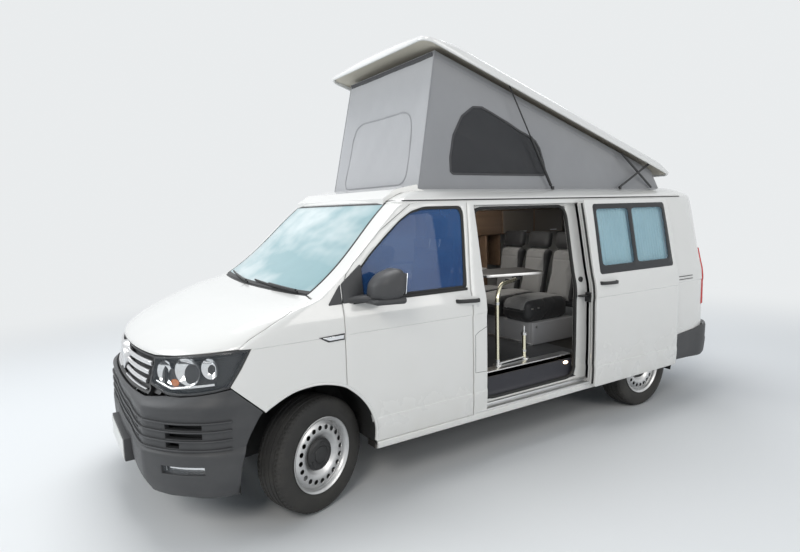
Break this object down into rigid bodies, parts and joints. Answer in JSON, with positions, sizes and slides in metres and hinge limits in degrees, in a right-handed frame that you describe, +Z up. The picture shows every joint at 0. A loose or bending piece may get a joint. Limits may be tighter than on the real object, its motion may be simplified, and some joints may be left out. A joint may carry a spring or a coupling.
{
  "type": "camper van",
  "caption": "Short camper van with a raised canvas-sided roof, open sliding side door, three-seat bench, table, steel wheels and grained bumpers.",
  "frame": {"origin": "on the ground at the middle of the length and width", "axes": "+Z up, front towards -Y, the vehicle's left side towards +X"},
  "size_m": [2.297, 4.904, 2.8885],
  "materials": {
    "paint": "gloss white paint",
    "glass": "clear, faint green",
    "dark_glass": "dark tinted",
    "trim_plastic": "grained dark grey",
    "black_plastic": "satin black",
    "lamp_lens": "clear polycarbonate",
    "red_lens": "clear red",
    "steel": "bare",
    "chassis_black": "satin underseal",
    "engine_metal": "plain",
    "dash_plastic": "soft grain",
    "seat_fabric": "woven, charcoal and grey",
    "bench_board": "grey laminate",
    "wood": "brown laminate",
    "table_board": "grey laminate with metal edge",
    "curtain": "light blue weave",
    "canvas": "grey coated canvas",
    "shell_gelcoat": "gloss white",
    "cast": "plain",
    "rim_silver": "silver lacquer",
    "tyre": "black rubber"
  },
  "bodies": {
    "root": {"front_body": "paint", "windscreen": "glass", "bumper_front": "trim_plastic", "front_lamps": "lamp_lens", "grille": "black_plastic", "side_left": "paint", "side_right": "paint", "side_glass_right": "dark_glass", "roof": "paint", "sliding_door": "paint", "sliding_glass": "dark_glass", "slide_carrier": "steel", "curtains": "curtain", "tail_lamps": "red_lens", "bumper_rear": "trim_plastic", "underbody": "chassis_black", "front_axle": "chassis_black", "rear_axle": "chassis_black", "engine": "engine_metal", "dashboard": "dash_plastic", "front_seats": "seat_fabric", "bench_base": "bench_board", "bench_cushion": "seat_fabric", "bench_backs": "seat_fabric", "cabinet": "wood", "table": "table_board", "fairing": "paint", "lift_lugs": "steel", "canvas": "canvas"},
    "front_door_left": {"door_left": "paint", "door_glass_left": "glass", "mirror_left": "trim_plastic"},
    "front_door_right": {"door_right": "paint", "door_glass_right": "glass", "mirror_right": "trim_plastic"},
    "hood_lid": {"hood": "paint"},
    "tail_door": {"tailgate": "paint", "tailgate_glass": "dark_glass"},
    "steer_left": {"knuckle_left": "cast"},
    "steer_right": {"knuckle_right": "cast"},
    "steering_wheel": {"steering_wheel": "dash_plastic"},
    "pop_roof": {"roof_shell": "shell_gelcoat"},
    "barrels": {"strut_barrels": "black_plastic"},
    "rods": {"strut_rods": "steel"},
    "short_links": {"links_short": "black_plastic"},
    "long_links": {"links_long": "black_plastic"},
    "wheel_front_left": {"rim_front_left": "rim_silver", "tyre_front_left": "tyre"},
    "wheel_front_right": {"rim_front_right": "rim_silver", "tyre_front_right": "tyre"},
    "wheel_rear_left": {"rim_rear_left": "rim_silver", "tyre_rear_left": "tyre"},
    "wheel_rear_right": {"rim_rear_right": "rim_silver", "tyre_rear_right": "tyre"}
  },
  "joints": [
    {"name": "roof_lift", "type": "hinge", "parent": "root", "child": "pop_roof", "pos_m": [0, 2.497, 2.14766], "axis": [-1, 0, 0], "range_deg": [-17.3, 0], "deforming": ["canvas"]},
    {"name": "strut_swing", "type": "hinge", "parent": "root", "child": "barrels", "pos_m": [0, 0.604, 1.868], "axis": [-1, 0, 0], "range_deg": [-56, 0]},
    {"name": "strut_slide", "type": "slide", "parent": "barrels", "child": "rods", "axis": [0, -0.5197, 0.8544], "range_m": [-0.387, 0]},
    {"name": "short_link_swing", "type": "hinge", "parent": "root", "child": "short_links", "pos_m": [0, 1.431, 1.868], "axis": [-1, 0, 0], "range_deg": [0, 24.1]},
    {"name": "long_link_swing", "type": "hinge", "parent": "short_links", "child": "long_links", "pos_m": [0, 1.7008, 2.00369], "axis": [-1, 0, 0], "range_deg": [-55.72, 0]},
    {"name": "front_door_left_swing", "type": "hinge", "parent": "root", "child": "front_door_left", "pos_m": [0.954, -1.3865, 1], "axis": [0, 0, -1], "range_deg": [0, 65]},
    {"name": "front_door_right_swing", "type": "hinge", "parent": "root", "child": "front_door_right", "pos_m": [-0.954, -1.3865, 1], "axis": [0, 0, 1], "range_deg": [0, 65]},
    {"name": "hood_swing", "type": "hinge", "parent": "root", "child": "hood_lid", "pos_m": [0, -1.64, 1.262], "axis": [-1, 0, 0], "range_deg": [0, 50]},
    {"name": "tailgate_swing", "type": "hinge", "parent": "root", "child": "tail_door", "pos_m": [0, 2.2855, 1.836], "axis": [1, 0, 0], "range_deg": [0, 85]},
    {"name": "steer_left_turn", "type": "hinge", "parent": "root", "child": "steer_left", "pos_m": [0.735, -1.592, 0.335], "axis": [0, 0, 1], "range_deg": [-55, 15]},
    {"name": "steer_right_turn", "type": "hinge", "parent": "root", "child": "steer_right", "pos_m": [-0.735, -1.592, 0.335], "axis": [0, 0, 1], "range_deg": [-55, 15]},
    {"name": "steering_wheel_turn", "type": "hinge", "parent": "root", "child": "steering_wheel", "pos_m": [-0.4, -1.06, 1.12], "axis": [0, 0.7071, 0.7071], "range_deg": [-825.1, 225.1]},
    {"name": "wheel_front_left_spin", "type": "hinge", "parent": "steer_left", "child": "wheel_front_left", "pos_m": [0.80924, -1.56498, 0.335], "axis": [0.9397, 0.342, 0], "continuous": true},
    {"name": "wheel_front_right_spin", "type": "hinge", "parent": "steer_right", "child": "wheel_front_right", "pos_m": [-0.80924, -1.61902, 0.335], "axis": [0.9397, 0.342, 0], "continuous": true},
    {"name": "wheel_rear_left_spin", "type": "hinge", "parent": "root", "child": "wheel_rear_left", "pos_m": [0.814, 1.456, 0.335], "axis": [1, 0, 0], "continuous": true},
    {"name": "wheel_rear_right_spin", "type": "hinge", "parent": "root", "child": "wheel_rear_right", "pos_m": [-0.814, 1.456, 0.335], "axis": [1, 0, 0], "continuous": true}
  ],
  "couplings": [
    {"joint": "strut_swing", "follows": "roof_lift", "ratio": 3.2215},
    {"joint": "strut_slide", "follows": "roof_lift", "m_per_rad": 1.2766},
    {"joint": "short_link_swing", "follows": "roof_lift", "ratio": -1.3873},
    {"joint": "long_link_swing", "follows": "roof_lift", "ratio": 3.2091},
    {"joint": "steer_right_turn", "follows": "steer_left_turn", "ratio": 1},
    {"joint": "steering_wheel_turn", "follows": "steer_left_turn", "ratio": 15}
  ]
}
